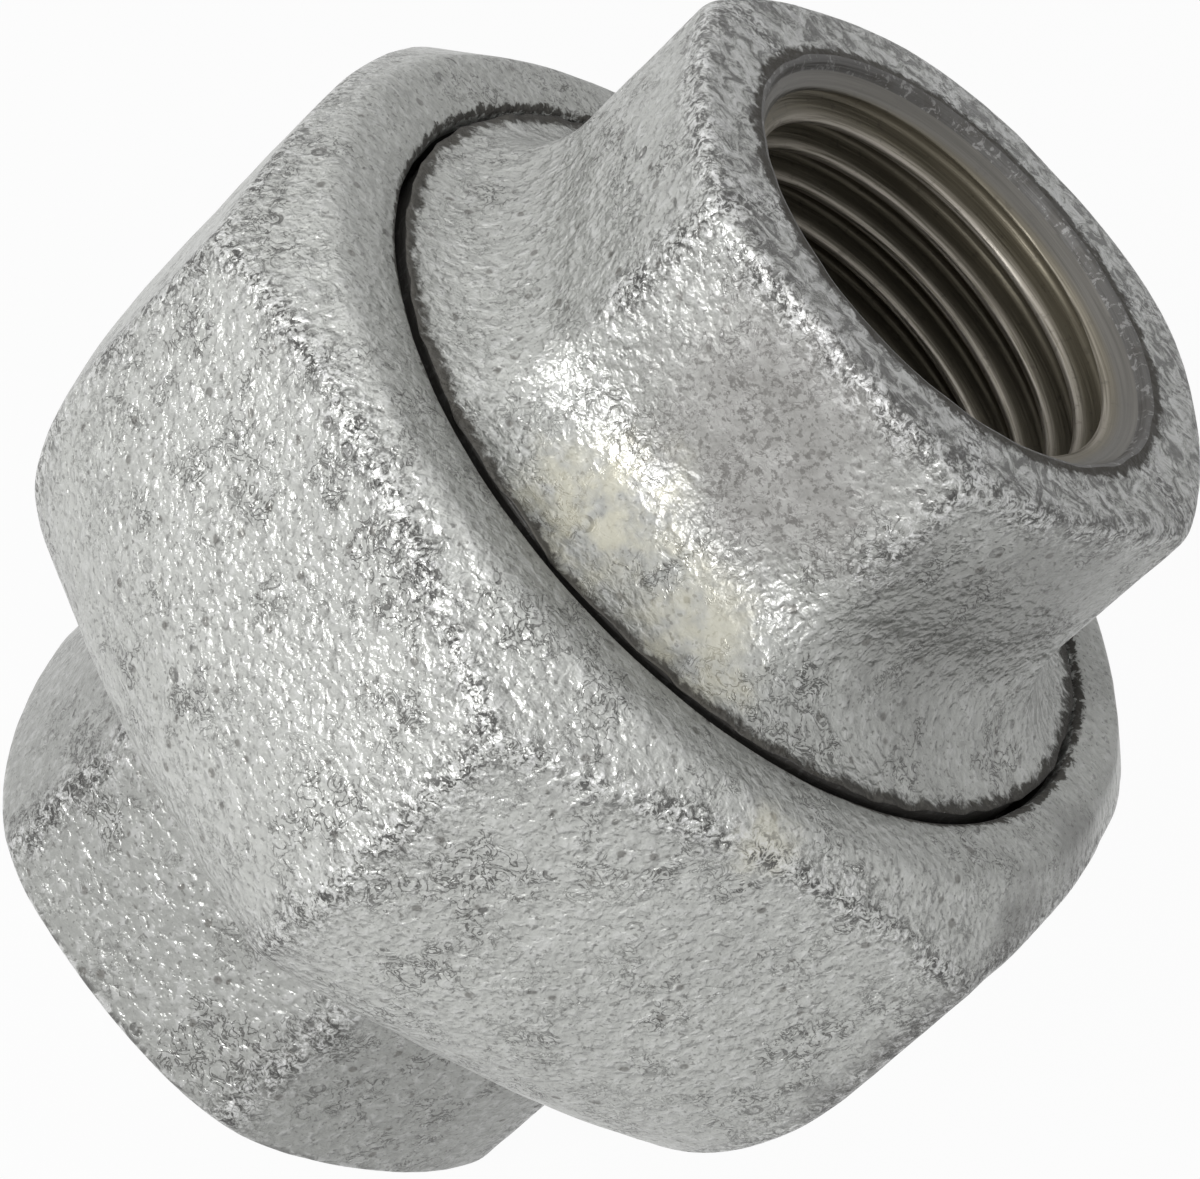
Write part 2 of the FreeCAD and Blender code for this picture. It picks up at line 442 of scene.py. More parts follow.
def skirt_rows(angle):
    """Hollow sweep from the upper hexagon out to the round skirt, trimmed by the collar."""
    rows = []
    for k in range(1, BLEND_STEPS + 1):
        turn = math.pi / 2 * k / BLEND_STEPS
        growth = 1 - math.cos(turn)
        flat = HEAD_FLAT + (SKIRT - HEAD_FLAT) * growth
        curve = flat + (END_CURVE - HEAD_FLAT) * (1 - SKIRT_ROUNDNESS * growth)
        corner = END_ROUND + (SKIRT / 2 - END_ROUND) * growth
        radius = cast_radius(angle, flat, curve, corner, HEAD_SPIN)
        rows.append((np.minimum(radius, COLLAR + SKIRT_OVERHANG), RIM + BLEND * (1 - math.sin(turn))))
    return rows


def neck_rows(side):
    """Cone under the lower hexagon, running out to the neck."""
    rows = []
    for k in range(CONE_STEPS + 1):
        share = k / CONE_STEPS
        cone = CONE_RADIUS + (NECK - CONE_RADIUS) * share ** CONE_POWER
        rows.append((np.maximum(side, cone), CONE_FOOT + (NECK_TOP - CONE_FOOT) * share))
    rows.append((np.clip(side, NECK, NECK + NECK_EDGE), NECK_TOP + 0.12))
    return rows


def head_bore(skin):
    """Waterway and inside thread of the upper end."""
    thread_end = TOTAL - THREAD_DEPTH
    skin.rings([(WATERWAY, SHANK_FOOT + CHAMFER),
                (WATERWAY, HEAD_BORE_MIDDLE),
                (WATERWAY, thread_end - BORE_CONE),
                (PIPE_CREST, thread_end)], TURNED)
    skin.helix(thread_end, TOTAL - MOUTH_DEPTH, PIPE_PITCH, 14, pipe_thread(TOTAL, -1), THREAD)


def head_casting(skin, mouth):
    """Face, hexagon and skirt of the upper end, with the skirt's rim ragged."""
    rows = HEAD_GRID[1]
    side = cast_radius(skin.angle, HEAD_FLAT, END_CURVE, END_ROUND, HEAD_SPIN)
    pairs = end_outline(skin, mouth, TOTAL, -1, side, END_DOME)
    pairs += [(side, RIM + BLEND)] + skirt_rows(skin.angle)
    outline = soften(even_steps(profile(pairs, skin.columns), rows), 5)
    rim = circle(skin.angle, COLLAR)
    near_rim = np.clip((np.arange(rows) - rows + RIM_ROWS) / (RIM_ROWS - 1), 0, 1)[None] ** 2
    outline[..., 1] += near_rim * uneven(rim, RIM_RAG)[:, None]
    outline[..., 0] += near_rim * uneven(rim, RIM_WOBBLE)[:, None]
    radius, height = outline[..., 0], outline[..., 1]
    ridge = worn_and_highlit(radius * off_ridge(skin.angle, HEAD_SPIN)[:, None])
    face_edge = worn_and_highlit(np.hypot(radius - (HEAD_FLAT + 0.2), height - (TOTAL - 0.7)))
    above_skirt = np.clip((height - RIM - BLEND) / 2.0, 0, 1)
    edge = np.maximum(ridge * above_skirt, face_edge)
    skin.zone(outline, CAST, row_shares(rows, rise=5, fall=6), edge)
    return outline[:, -1, 0], outline[:, -1, 1]


def head():
    skin = Skin(HEAD_GRID[0])
    mouth = end_mouth(skin, TOTAL, -1)
    head_bore(skin)
    skin.rings(mouth, TURNED)
    rim_radius, rim_height = head_casting(skin, mouth)
    skin.rings([(rim_radius, rim_height),
                (COLLAR + 0.02, rim_height - 0.10),
                (COLLAR, rim_height - 0.2)]
               + [(COLLAR, height) for height in COLLAR_RINGS]
               + [(COLLAR, COLLAR_BASE + COLLAR_EDGE),
                  (COLLAR - COLLAR_EDGE, COLLAR_BASE),
                  (UNDERCUT + 0.1, COLLAR_BASE - 0.1),
                  (UNDERCUT, UNDERCUT_TOP)], TURNED)

    def outside(phase, height):
        form = whitworth(phase)
        radius = UNION_CREST - (UNION_CREST - UNION_ROOT) * form
        radius = UNDERCUT + (radius - UNDERCUT) * np.clip((UNDERCUT_TOP - height) / 1.2, 0, 1)
        radius = np.minimum(radius, SHANK_EDGE + (height - SHANK_FOOT))
        return radius, np.clip(1 - form * 2.5, 0, 1)

    skin.helix(SHANK_FOOT, UNDERCUT_TOP, UNION_PITCH, 12, outside, THREAD)
    skin.rings([(SHANK_EDGE, SHANK_FOOT),
                (SEAT_RING, SHANK_FOOT),
                (SHANK_SEAT_RING, SHANK_FOOT),
                (WATERWAY + CHAMFER, SHANK_FOOT),
                (WATERWAY, SHANK_FOOT + CHAMFER)], TURNED)
    return skin.build("head_skin", flip=True)


def tail():
    rows = TAIL_GRID[1]
    skin = Skin(TAIL_GRID[0])
    mouth = end_mouth(skin, 0.0, 1)
    skin.rings([(WATERWAY, FLANGE_TOP - CHAMFER),
                (WATERWAY, TAIL_BORE_MIDDLE),
                (WATERWAY, THREAD_DEPTH + BORE_CONE),
                (PIPE_CREST, THREAD_DEPTH)], TURNED)
    skin.helix(MOUTH_DEPTH, THREAD_DEPTH, PIPE_PITCH, 12, pipe_thread(0.0, 1), THREAD)
    skin.rings(mouth, TURNED)
    side = cast_radius(skin.angle, TAIL_FLAT, END_CURVE, END_ROUND, TAIL_SPIN)
    pairs = end_outline(skin, mouth, 0.0, 1, side, TAIL_DOME) + neck_rows(side)
    outline = soften(even_steps(profile(pairs, skin.columns), rows), 4)
    radius, height = outline[..., 0], outline[..., 1]
    ridge = worn_and_highlit(radius * off_ridge(skin.angle, TAIL_SPIN)[:, None]) * (radius > TAIL_FLAT)
    skin.zone(outline, CAST, row_shares(rows, rise=8, fall=8, start=10, least_last=0.2), ridge)
    skin.rings([(radius[:, -1], height[:, -1])]
               + [(NECK, ring_height) for ring_height in NECK_RINGS]
               + [(NECK, LIP_TOP - NECK_EDGE),
                  (NECK + NECK_EDGE, LIP_TOP),
                  (FLANGE - FLANGE_EDGE, LIP_TOP),
                  (FLANGE, LIP_TOP + FLANGE_EDGE),
                  (FLANGE, FLANGE_TOP - FLANGE_CHAMFER),
                  (FLANGE - FLANGE_CHAMFER, FLANGE_TOP),
                  (SEAT_RING, FLANGE_TOP),
                  (FLANGE_SEAT_RING, FLANGE_TOP),
                  (WATERWAY + CHAMFER, FLANGE_TOP),
                  (WATERWAY, FLANGE_TOP - CHAMFER)], TURNED)
    return skin.build("tail_skin")


def nut_casting(skin):
    """Outside of the nut: front cut by a cone, back drawn in to the lip along a quarter curve."""
    rows = NUT_GRID[1]
    off_x, off_y = NUT_CASTING_OFF
    outward = off_x * np.cos(skin.angle) + off_y * np.sin(skin.angle)
    angle = skin.angle + (off_x * np.sin(skin.angle) - off_y * np.cos(skin.angle)) / NUT_FLAT
    side = cast_radius(angle, NUT_FLAT, NUT_CURVE, NUT_ROUND, NUT_SPIN)
    cone_foot = NUT_TOP - (side - NUT_FRONT)
    pairs = [(NUT_MOUTH_EDGE, NUT_TOP - 0.02),
             (NUT_FRONT_RING, NUT_TOP),
             (NUT_FRONT, NUT_TOP - 0.05),
             (side, cone_foot),
             (side, NUT_FOOT + NUT_SHOULDER)]
    for k in range(1, NUT_BACK_STEPS + 1):
        turn = math.pi / 2 * k / NUT_BACK_STEPS
        flat = NUT_BACK + (NUT_FLAT - NUT_BACK) * math.cos(turn)
        back = cast_radius(angle, flat, flat + NUT_CURVE - NUT_FLAT, NUT_ROUND, NUT_SPIN)
        pairs.append((back, NUT_FOOT + NUT_SHOULDER * (1 - math.sin(turn))))
    pairs.append((NUT_FOOT_EDGE, NUT_FOOT))
    outline = soften(even_steps(profile(pairs, skin.columns), rows), 3)
    radius, height = outline[..., 0], outline[..., 1]
    front_edge = worn_and_highlit(np.hypot(radius - side[:, None], height - cone_foot[:, None]))
    below = np.clip(cone_foot[:, None] - height, 0, 1)
    ridge = worn_and_highlit(radius * off_ridge(angle, NUT_SPIN)[:, None])
    edge = np.maximum(ridge * below, front_edge)
    from_mouth = (radius - NUT_MOUTH_EDGE) / 1.8
    from_foot = (radius - NUT_FOOT_EDGE) / 2.0
    moved = np.clip(np.where(height > NUT_TOP - 0.3, from_mouth, from_foot), 0, 1)
    outline[..., 0] += outward[:, None] * moved
    skin.zone(outline, CAST, row_shares(rows, rise=5, fall=6, least_first=0.15), edge)


def nut():
    skin = Skin(NUT_GRID[0])
    nut_casting(skin)
    skin.rings([(NUT_FOOT_EDGE, NUT_FOOT),
                (NUT_HOLE + 0.15, NUT_FOOT + 0.15),
                (NUT_HOLE, NUT_FOOT + 0.5),
                (NUT_HOLE, NUT_HOLE_MIDDLE),
                (NUT_HOLE, LIP_TOP - 0.2),
                (NUT_HOLE + 0.2, LIP_TOP),
                (NUT_CAVITY_EDGE, LIP_TOP),
                (NUT_CAVITY, LIP_TOP + 0.3),
                (NUT_CAVITY, NUT_THREAD_LOW)], TURNED)

    def inside(phase, height):
        form = whitworth(phase)
        cut = UNION_CREST + UNION_PLAY - (UNION_CREST - UNION_ROOT) * form
        start = np.clip(height - NUT_THREAD_LOW, 0, 1)
        fade = start * np.clip((NUT_THREAD_HIGH - height) / 0.8, 0, 1)
        return NUT_CAVITY + (cut - NUT_CAVITY) * fade, np.clip(form * 2.2 - 1.2, 0, 1)

    skin.helix(NUT_THREAD_LOW, NUT_THREAD_HIGH, UNION_PITCH, 11, inside, THREAD)
    rag = uneven(circle(skin.angle, NUT_RAG_RADIUS), NUT_RAG)
    ragged_edge = (NUT_MOUTH + rag, NUT_TOP - 0.9)
    skin.rings([(NUT_CAVITY, NUT_THREAD_HIGH),
                (NUT_MOUTH - 0.09, NUT_THREAD_HIGH + 0.1),
                (NUT_MOUTH, NUT_THREAD_HIGH + 0.3),
                (NUT_MOUTH, NUT_TOP - 2.1),
                ragged_edge], TURNED)
    skin.rings([ragged_edge,
                (NUT_MOUTH + 0.04 + rag, NUT_TOP - 0.55),
                (NUT_MOUTH + 0.18 + rag, NUT_TOP - 0.26),
                (NUT_MOUTH + 0.48 + rag * 0.5, NUT_TOP - 0.08),
                (NUT_MOUTH_EDGE, NUT_TOP - 0.02)], CAST, 0.2)
    return skin.build("nut_skin")


def ring():
    skin = Skin(RING_COLUMNS)
    low = FLANGE_TOP + RING_PLAY
    high = SHANK_FOOT - RING_PLAY
    inner_face = RING_INNER + RING_EDGE
    outer_face = RING_OUTER - RING_EDGE
    face_rings = (inner_face,) + RING_FACE_RINGS + (outer_face,)
    start = (RING_INNER, low + RING_EDGE)
    skin.rings([start]
               + [(radius, low) for radius in face_rings]
               + [(RING_OUTER, low + RING_EDGE),
                  (RING_OUTER + RING_BULGE, (low + high) / 2),
                  (RING_OUTER, high - RING_EDGE)]
               + [(radius, high) for radius in reversed(face_rings)]
               + [(RING_INNER, high - RING_EDGE), start], CAST)
    return skin.build("ring_skin")


# Materials

class Paint:
    """Material under work: adds shader nodes and returns their outputs."""

    def __init__(self, name):
        self.material = bpy.data.materials.new(name)
        self.material.use_nodes = True
        self.tree = self.material.node_tree
        self.shader = next(n for n in self.tree.nodes if n.type == "BSDF_PRINCIPLED")
        place = self.tree.nodes.new("ShaderNodeTexCoord").outputs["Object"]
        self.mm = self.vector("MULTIPLY", place, (1 / MM, 1 / MM, 1 / MM))
        split = self.tree.nodes.new("ShaderNodeSeparateXYZ")
        self.tree.links.new(self.mm, split.inputs[0])
        self.x, self.y, self.z = split.outputs

    def put(self, socket, value):
        """Links an output to a socket, or sets a constant on it."""
        if isinstance(value, bpy.types.NodeSocket):
            self.tree.links.new(value, socket)
        else:
            socket.default_value = value

    def vector(self, operation, a, b):
        node = self.tree.nodes.new("ShaderNodeVectorMath")
        node.operation = operation
        self.put(node.inputs[0], a)
        self.put(node.inputs[1], b)
        return node.outputs["Value" if operation == "DISTANCE" else "Vector"]

    def math(self, operation, a, b=0.0, c=0.0):
        node = self.tree.nodes.new("ShaderNodeMath")
        node.operation = operation
        for socket, value in zip(node.inputs, (a, b, c)):
            self.put(socket, value)
        return node.outputs[0]

    def both(self, a, b):
        """Product of two shares."""
        return self.math("MULTIPLY", a, b)

    def either(self, a, b):
        """Larger of two shares."""
        return self.math("MAXIMUM", a, b)

    def length(self, a, b):
        """Length of the diagonal over two distances."""
        return self.math("SQRT", self.math("ADD", self.both(a, a), self.both(b, b)))

    def noise(self, size, detail=3.0, rough=0.55, distortion=0.0, vector=None):
        """Noise with features of about size millimetres."""
        node = self.tree.nodes.new("ShaderNodeTexNoise")
        self.put(node.inputs["Vector"], vector or self.mm)
        node.inputs["Scale"].default_value = 1.0 / size
        node.inputs["Detail"].default_value = detail
        node.inputs["Roughness"].default_value = rough
        node.inputs["Distortion"].default_value = distortion
        return node.outputs["Fac"]

    def cells(self, size):
        """Distance to the nearest of points about size millimetres apart."""
        node = self.tree.nodes.new("ShaderNodeTexVoronoi")
        self.put(node.inputs["Vector"], self.mm)
        node.inputs["Scale"].default_value = 1.0 / size
        return node.outputs["Distance"]

    def step(self, value, low, high):
        """0 below low, 1 above high, smooth between; low may be above high."""
        node = self.tree.nodes.new("ShaderNodeMapRange")
        node.interpolation_type = "SMOOTHSTEP"
        self.put(node.inputs["Value"], value)
        rising = low < high
        node.inputs["From Min"].default_value = min(low, high)
        node.inputs["From Max"].default_value = max(low, high)
        node.inputs["To Min"].default_value = 0.0 if rising else 1.0
        node.inputs["To Max"].default_value = 1.0 if rising else 0.0
        return node.outputs["Result"]

    def mix(self, share, a, b):
        """Colour a with a share of colour b."""
        node = self.tree.nodes.new("ShaderNodeMix")
        node.data_type = "RGBA"
        self.put(node.inputs[0], share)
        self.put(node.inputs[6], a)
        self.put(node.inputs[7], b)
        return node.outputs[2]

    def blend(self, share, a, b):
        """Number a with a share of number b."""
        node = self.tree.nodes.new("ShaderNodeMix")
        node.data_type = "FLOAT"
        self.put(node.inputs[0], share)
        self.put(node.inputs[2], a)
        self.put(node.inputs[3], b)
        return node.outputs[0]

    def tint(self, colour, share, strength, over):
        """Colour with another laid over it where the share says."""
        return self.mix(self.both(share, strength), colour, over)

    def wear_and_highlight(self):
        """Share of wear and painted highlight that the skin gives each point: thread crests and worn
        edges.
        """
        node = self.tree.nodes.new("ShaderNodeAttribute")
        node.attribute_name = "crest"
        return node.outputs["Fac"]

    def bump(self, height, millimetres, strength=1.0):
        node = self.tree.nodes.new("ShaderNodeBump")
        self.put(node.inputs["Strength"], strength)
        node.inputs["Distance"].default_value = millimetres * MM
        self.put(node.inputs["Height"], height)
        return node.outputs["Normal"]

    def radius(self):
        return self.length(self.x, self.y)

    def near(self, place, reach):
        """1 at a point of the object, falling to 0 at about reach millimetres with a ragged edge."""
        ragged = self.math("MULTIPLY_ADD", self.noise(reach * 0.4, 3.0), reach * 0.9, reach * -0.45)
        distance = self.math("ADD", self.vector("DISTANCE", self.mm, place), ragged)
        return self.step(distance, reach, reach * 0.3)

    def seam(self, radius, height, reach):
        """1 on a circle round the pipe's axis, falling to 0 at reach millimetres with a ragged edge."""
        off_radius = self.math("SUBTRACT", self.radius(), radius)
        off_height = self.math("SUBTRACT", self.z, height)
        fray = self.noise(0.7, 5.0, 0.7, 0.5)
        ragged = self.math("MULTIPLY_ADD", fray, 1.2 + reach, -0.6 - reach / 2)
        distance = self.math("ADD", self.length(off_radius, off_height), ragged)
        return self.step(distance, reach, reach * 0.4)

    def round_streaks(self, across):
        """Noise drawn out round the pipe's axis, as a cutting tool leaves it."""
        node = self.tree.nodes.new("ShaderNodeCombineXYZ")
        self.put(node.inputs[0], self.both(self.math("ARCTAN2", self.y, self.x), 1.4))
        self.put(node.inputs[1], self.both(self.radius(), across))
        self.put(node.inputs[2], self.both(self.z, across))
        return self.noise(1.0, 4.0, 0.6, vector=node.outputs[0])

    def finish(self, colour, metallic, rough, normal):
        self.put(self.shader.inputs["Base Color"], colour)
        self.put(self.shader.inputs["Metallic"], metallic)
        self.put(self.shader.inputs["Roughness"], rough)
        self.put(self.shader.inputs["Normal"], normal)
        return self.material


def grey(value, warm=0.0):
    return (value * (1 + warm), value, value * (1 - 1.4 * warm), 1.0)


def zinc(value):
    return (value * 0.985, value, value * 0.955, 1.0)


PALE_ZINC = grey(0.80)
BLACK_CHIP = grey(0.05, 0.03)
WARM_STAIN_AND_SHEEN = (0.70, 0.67, 0.52, 1.0)
CALM_DARK = grey(0.21, 0.03)
# Pale cream of the warm stains, partly a painted highlight
CALM_PALE = grey(0.31, 0.02)
GRIME = grey(0.03, 0.16)
THREAD_DARK = (0.078, 0.069, 0.050, 1.0)
THREAD_PALE = (0.230, 0.206, 0.152, 1.0)


def zinc_marks(p, colour):
    """Colour with the dipped surface's marks laid over it, and the share of veins, which are sunk."""
    dirty = p.step(p.noise(8.0, 2.0), 0.40, 0.56)
    grain = p.step(p.noise(0.34, 3.0, 0.7, 0.6), 0.49, 0.58)
    mottle = p.both(p.both(p.step(p.noise(1.3, 4.0, 0.65, 0.5), 0.50, 0.62), grain), dirty)
    line = p.math("ABSOLUTE", p.math("SUBTRACT", p.noise(0.8, 3.0, 0.6, 1.3), 0.5))
    vein = p.both(p.step(line, 0.032, 0.010), p.step(p.noise(2.6, 3.0), 0.48, 0.58))
    rim = p.math("ABSOLUTE", p.math("SUBTRACT", p.cells(2.1), 0.15))
    crater = p.both(p.step(rim, 0.050, 0.025), p.step(p.noise(1.1, 4.0), 0.50, 0.60))
    vein = p.both(p.either(vein, crater), p.blend(dirty, 0.35, 1.0))
    speck = p.step(p.noise(0.22, 1.0, 0.5), 0.61, 0.70)
    pinhole = p.both(p.step(p.cells(1.25), 0.22, 0.13), p.step(p.noise(0.9, 2.0), 0.48, 0.56))
    colour = p.tint(colour, mottle, 0.26, grey(0.14, 0.04))
    colour = p.tint(colour, vein, 0.72, grey(0.05, 0.05))
    colour = p.tint(colour, speck, 0.52, grey(0.09, 0.04))
    colour = p.tint(colour, pinhole, 0.62, grey(0.07, 0.10))
    return colour, vein


def dirty_face(p, colour, on_face, dark):
    """Colour of a flat face: pale and black patches."""
    dirt = p.noise(1.0, 6.0, 0.72, 1.0)
    colour = p.tint(colour, p.both(on_face, p.step(dirt, 0.50, 0.43)), dark * 0.6, PALE_ZINC)
    return p.tint(colour, p.both(on_face, p.step(dirt, 0.49, 0.58)), dark, grey(0.06, 0.03))


def chipped_edges(p, colour):
    """Colour of the worn edges: tinted pale, partly rubbed zinc and partly a painted highlight on the
    rounded edges, and chipped black in places.
    """
    edge = p.wear_and_highlight()
    chips = p.noise(0.38, 5.0, 0.75, 1.0)
    chipped = p.both(edge, p.step(p.noise(2.4, 2.0), 0.30, 0.50))
    # Pale tint on the edges: partly rubbed zinc and partly a painted highlight along the rounded ridges
    colour = p.tint(colour, p.both(edge, p.step(chips, 0.50, 0.38)), 0.65, PALE_ZINC)
    return p.tint(colour, p.both(chipped, p.step(chips, 0.49, 0.57)), 0.95, BLACK_CHIP)


def cast_zinc(name, tone, peel_depth, face, seams, calm=None, stains_and_sheen=(), painted_shade=()):
    """Hot-dip zinc on cast iron.

    tone is how bright it is, and peel_depth how deep its relief is in millimetres. face gives the two
    heights between which a flat face starts, and how dirty it is. seams are dirty circles, each a
    radius, a height and a reach. calm is a smooth matt place with its reach. The stains with sheen are
    warm glossy places tinted pale cream, partly real stains and partly a painted highlight, and the
    painted shade darkens places on the sides that face away from the lamps, each a place, a reach and a
    strength.
    """
    p = Paint(name)
    face_low, face_high, face_dark = face
    on_face = p.step(p.z, face_low, face_high)
    smooth = p.both(on_face, 0.45)
    gloss = 0.0
    grime = 0.0
    peel = p.noise(0.46, 1.8, 0.5, 0.3)
    fine = p.noise(0.18, 2.0, 0.5)
    lumps = p.noise(1.3, 2.0, 0.5)
    cloud = p.noise(5.0, 4.0, 0.6)
    colour = p.mix(cloud, zinc(0.40 * tone), zinc(0.54 * tone))
    colour = p.tint(colour, p.step(peel, 0.50, 0.68), 0.22, PALE_ZINC)
    colour = p.tint(colour, p.step(peel, 0.46, 0.30), 0.24, grey(0.22, 0.01))
    colour, vein = zinc_marks(p, colour)
    if calm:
        matt = p.near(*calm)
        smooth = p.either(smooth, p.both(matt, 0.62))
        colour = p.tint(colour, matt, 0.72, p.mix(p.step(lumps, 0.35, 0.65), CALM_DARK, CALM_PALE))
        dots = p.step(p.noise(0.30, 3.0, 0.65), 0.53, 0.60)
        colour = p.tint(colour, p.both(matt, dots), 0.62, grey(0.09, 0.05))
    # Warm pale cream patches, made glossier too: partly real stains and partly a painted highlight
    for place, reach, strength in stains_and_sheen:
        stain = p.near(place, reach)
        gloss = p.either(gloss, p.both(stain, 0.8))
        patchy = p.both(stain, p.step(p.noise(1.5, 3.0, 0.6), 0.32, 0.60))
        colour = p.tint(colour, patchy, strength, WARM_STAIN_AND_SHEEN)
    # Painted shade: dark grey laid over places on the sides that face away from the lamps
    for place, reach, strength in painted_shade:
        colour = p.tint(colour, p.near(place, reach), strength, grey(0.11, 0.03))
    colour = dirty_face(p, colour, on_face, face_dark)
    colour = chipped_edges(p, colour)
    for radius, height, reach in seams:
        grime = p.either(grime, p.seam(radius, height, reach))
    colour = p.tint(colour, grime, 0.90, GRIME)
    relief = p.math("ADD", peel, p.both(fine, 0.14))
    relief = p.math("ADD", relief, p.both(lumps, 0.9))
    relief = p.math("SUBTRACT", relief, p.both(vein, 0.25))
    rough = p.blend(cloud, 0.24, 0.38)
    rough = p.blend(gloss, rough, 0.24)
    rough = p.blend(smooth, rough, 0.58)
    rough = p.blend(grime, rough, 0.85)
    metal = p.both(p.math("SUBTRACT", 1.0, p.either(smooth, grime)), 0.42)
    even = p.either(smooth, p.both(gloss, 0.9))
    normal = p.bump(relief, peel_depth, p.math("SUBTRACT", 1.0, even))
    return p.finish(colour, metal, rough, normal)


def turned_iron(name):
    """Turned lips: grey, streaky and flecked round the bores, and darker on the faces further out, which
    lie between the parts.
    """
    p = Paint(name)
    lines = p.round_streaks(9.0)
    stain = p.step(p.noise(1.6, 5.0, 0.65), 0.45, 0.62)
    fleck = p.step(p.noise(0.42, 4.0, 0.7, 0.6), 0.54, 0.62)
    outside_bore = p.step(p.radius(), 12.5, 14.5)
    colour = p.mix(lines, grey(0.035, 0.04), grey(0.155, 0.03))
    colour = p.tint(colour, stain, 0.70, grey(0.06, 0.08))
    colour = p.tint(colour, fleck, 0.45, grey(0.42, 0.01))
    # Darker on the faces away from the bores, which lie between the parts
    colour = p.tint(colour, outside_bore, 0.65, grey(0.045, 0.06))
    return p.finish(colour, 0.2, p.blend(lines, 0.42, 0.56), p.bump(lines, 0.05))


def thread_iron(name):
    """Oily cut thread: brown and dull, grey at the mouths, and tinted bright on the crests, partly rubbed
    metal and partly a painted highlight.
    """
    p = Paint(name)
    lines = p.round_streaks(7.0)
    fleck = p.step(p.noise(0.5, 3.0, 0.7), 0.58, 0.72)
    # Bright tint on the crests: partly rubbed metal and partly a painted highlight
    rubbed_and_highlit = p.both(p.wear_and_highlight(), p.step(lines, 0.30, 0.60))
    from_middle = p.math("ABSOLUTE", p.math("SUBTRACT", p.z, TOTAL / 2))
    at_mouth = p.step(from_middle, TOTAL / 2 - 1.2, TOTAL / 2 - 0.9)
    colour = p.mix(lines, THREAD_DARK, THREAD_PALE)
    colour = p.tint(colour, rubbed_and_highlit, 0.8, grey(0.50, 0.08))
    colour = p.tint(colour, fleck, 0.35, grey(0.03, 0.15))
    colour = p.tint(colour, at_mouth, 0.7, p.mix(lines, grey(0.06, 0.02), grey(0.20, 0.01)))
    return p.finish(colour, 0.5, p.blend(lines, 0.34, 0.50), p.bump(lines, 0.03))


def rubber(name):
    p = Paint(name)
    grain = p.noise(0.25, 3.0, 0.6)
    colour = p.mix(grain, grey(0.012), grey(0.03))
    return p.finish(colour, 0.0, p.blend(grain, 0.55, 0.75), p.bump(grain, 0.02))


zinc_head = cast_zinc(
    "zinc_head", 0.93, 0.22,
    face=(TOTAL - 0.9, TOTAL - 0.3, 0.80),
    seams=((18.95, RIM, 0.8), (11.05, TOTAL, 0.60)),
    calm=((0.1, -14.0, 43.6), 8.5),
    # The head's two warm patches in the fillet are partly a painted highlight and partly a warm stain
    stains_and_sheen=(((-2.6, -16.5, 36.8), 4.6, 0.55), ((3.9, -16.7, 36.2), 4.2, 0.45)),
    # Painted shade on the head's side that faces down and away from the lamps
    painted_shade=(((12.2, -7.9, 42.0), 9.0, 0.42),))
zinc_nut = cast_zinc(
    "zinc_nut", 1.06, 0.29,
    face=(NUT_TOP - 0.6, NUT_TOP - 0.1, 0.10),
    seams=((16.0, NUT_FOOT - 0.2, 1.1), (19.3, NUT_TOP - 0.2, 0.3)),
    stains_and_sheen=(((11.7, -19.8, 33.9), 2.2, 0.40),),
    # Painted shade along the nut's lower right side and its edge, which face away from the lamps
    painted_shade=(((22.3, -1.8, 34.7), 3.4, 0.50),
          ((22.7, -8.0, 33.0), 3.4, 0.55),
          ((23.5, -12.0, 30.5), 3.0, 0.70),
          ((23.5, -12.0, 27.0), 3.0, 0.70),
          ((23.5, -12.0, 23.5), 3.0, 0.70)))
zinc_tail = cast_zinc(
    "zinc_tail", 0.74, 0.20,
    face=(0.9, 0.3, 0.80),
    seams=((15.6, NUT_FOOT, 0.9), (11.05, 0.0, 0.40)))
iron = turned_iron("turned_iron")
cut_thread = thread_iron("cut_thread")
black_rubber = rubber("black_rubber")

for piece, node, body, skins, finish in (
        (head(), "head_piece", "head", (zinc_head, iron, cut_thread), "galvanised_iron"),
        (tail(), "tail_piece", "tail", (zinc_tail, iron, cut_thread), "galvanised_iron"),
        (nut(), "union_nut", "nut", (zinc_nut, iron, cut_thread), "galvanised_iron"),
        (ring(), "sealing_ring", "ring", (black_rubber,), "ring_rubber")):
    for material in skins:
        piece.data.materials.append(material)
    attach(piece, body)
    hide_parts(node)


# Camera: the part stands upright, and the camera is rolled to lay its axis as the photo shows it

along = Vector((math.cos(AXIS_LEAN) * math.cos(AXIS_TURN), -math.cos(AXIS_LEAN) * math.sin(AXIS_TURN),
                -math.sin(AXIS_LEAN)))
across = along.cross(Vector((0, 0, 1))).normalized()
down = along.cross(across)


def to_part(e):
    """Direction given as right, down and forward in the picture, in the part's own axes."""
    e = Vector(e)
    return Vector((-across.dot(e), -down.dot(e), along.dot(e)))


camera_data = bpy.data.cameras.new("camera")
camera_data.sensor_fit = "HORIZONTAL"
camera_data.sensor_width = SENSOR
camera_data.lens = LENS
camera_data.clip_start = 0.01
camera_data.clip_end = 20.0
camera = bpy.data.objects.new("camera", camera_data)
bpy.context.scene.collection.objects.link(camera)
eye = (Vector((0, 0, TOTAL)) - to_part(FACE_FROM_CAMERA)) * MM
sides = Matrix((to_part((1, 0, 0)), to_part((0, -1, 0)), to_part((0, 0, -1)))).transposed()
camera.matrix_world = Matrix.Translation(eye) @ sides.to_4x4()
bpy.context.scene.camera = camera


# Lamps, each from a direction given as right, down and forward in the picture

